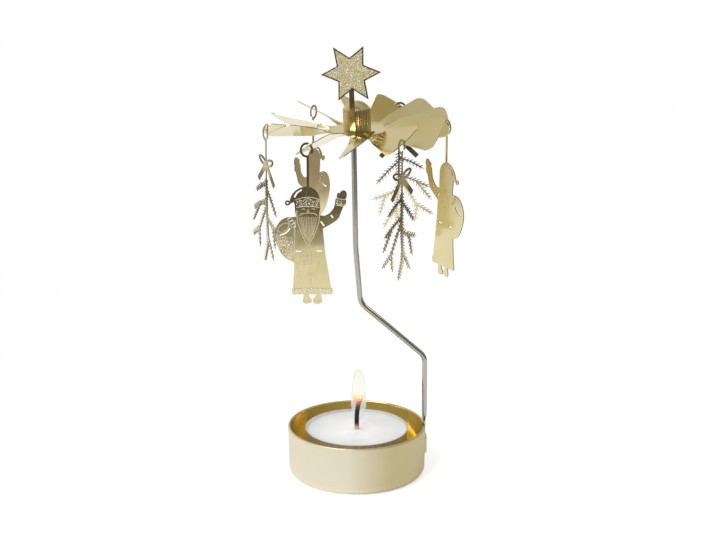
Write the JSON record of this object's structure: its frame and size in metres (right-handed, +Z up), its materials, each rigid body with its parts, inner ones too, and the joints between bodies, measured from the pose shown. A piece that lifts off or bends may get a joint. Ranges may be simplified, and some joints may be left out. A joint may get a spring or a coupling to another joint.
{
  "type": "tealight carousel",
  "caption": "Sheet-metal tealight tray with a bent wire post whose needle point carries a bladed wheel, a star and hanging etched ornaments that turn in the warm air.",
  "frame": {"origin": "centre of the tray's flat underside", "axes": "+Z up along the axis that the wheel turns on, +X towards the foot of the wire post, -Y towards the side seen in the picture"},
  "size_m": [0.0778, 0.0797, 0.1649],
  "materials": {
    "tray_sheet": "pale satin plating outside, brighter gold inside",
    "steel_wire": "drawn round wire",
    "etched_sheet": "mirror-polished thin sheet with etched lines",
    "cap_brass": "polished, fluted side",
    "bearing_steel": "turned",
    "cup_foil": "deep-drawn foil",
    "wax": "smooth paraffin wax",
    "wick_cotton": "braided cotton, charred above the wax",
    "clip_tin": "pressed tin plate"
  },
  "bodies": {
    "stand": {"tray": "tray_sheet", "post_wire": "steel_wire"},
    "rotor": {"blade_wheel": "etched_sheet", "hub_cap": "cap_brass", "pivot_seat": "bearing_steel", "star_topper": "etched_sheet"},
    "figure_right": {"yule_figure_right": "etched_sheet"},
    "branch_back": {"spruce_branch_back": "etched_sheet"},
    "figure_back": {"yule_figure_back": "etched_sheet"},
    "branch_left": {"spruce_branch_left": "etched_sheet"},
    "figure_front": {"yule_figure_front": "etched_sheet"},
    "branch_front": {"spruce_branch_front": "etched_sheet"},
    "tealight": {"tealight_cup": "cup_foil", "tealight_wax": "wax", "wick": "wick_cotton", "wick_clip": "clip_tin"}
  },
  "joints": [
    {"name": "rotor_spin", "type": "hinge", "parent": "stand", "child": "rotor", "pos_m": [0, 0, 0.1394], "axis": [0, 0, 1], "continuous": true},
    {"name": "figure_right_swing", "type": "hinge", "parent": "rotor", "child": "figure_right", "pos_m": [0.03207, 0, 0.13577], "axis": [0, -1, 0], "range_deg": [-4, 30]},
    {"name": "branch_back_swing", "type": "hinge", "parent": "rotor", "child": "branch_back", "pos_m": [0.01494, 0.02917, 0.13524], "axis": [0.866, -0.5, 0], "range_deg": [-4, 30]},
    {"name": "figure_back_swing", "type": "hinge", "parent": "rotor", "child": "figure_back", "pos_m": [-0.01677, 0.02799, 0.13413], "axis": [0.866, 0.5, 0], "range_deg": [-4, 30]},
    {"name": "branch_left_swing", "type": "hinge", "parent": "rotor", "child": "branch_left", "pos_m": [-0.03256, 0, 0.13278], "axis": [0, 1, 0], "range_deg": [-4, 30]},
    {"name": "figure_front_swing", "type": "hinge", "parent": "rotor", "child": "figure_front", "pos_m": [-0.01619, -0.02834, 0.13415], "axis": [-0.866, 0.5, 0], "range_deg": [-4, 30]},
    {"name": "branch_front_swing", "type": "hinge", "parent": "rotor", "child": "branch_front", "pos_m": [0.01648, -0.02831, 0.13569], "axis": [-0.866, -0.5, 0], "range_deg": [-4, 30]},
    {"name": "tealight_lift", "type": "slide", "parent": "stand", "child": "tealight", "axis": [0, 0, 1], "range_m": [0, 0.02]}
  ]
}
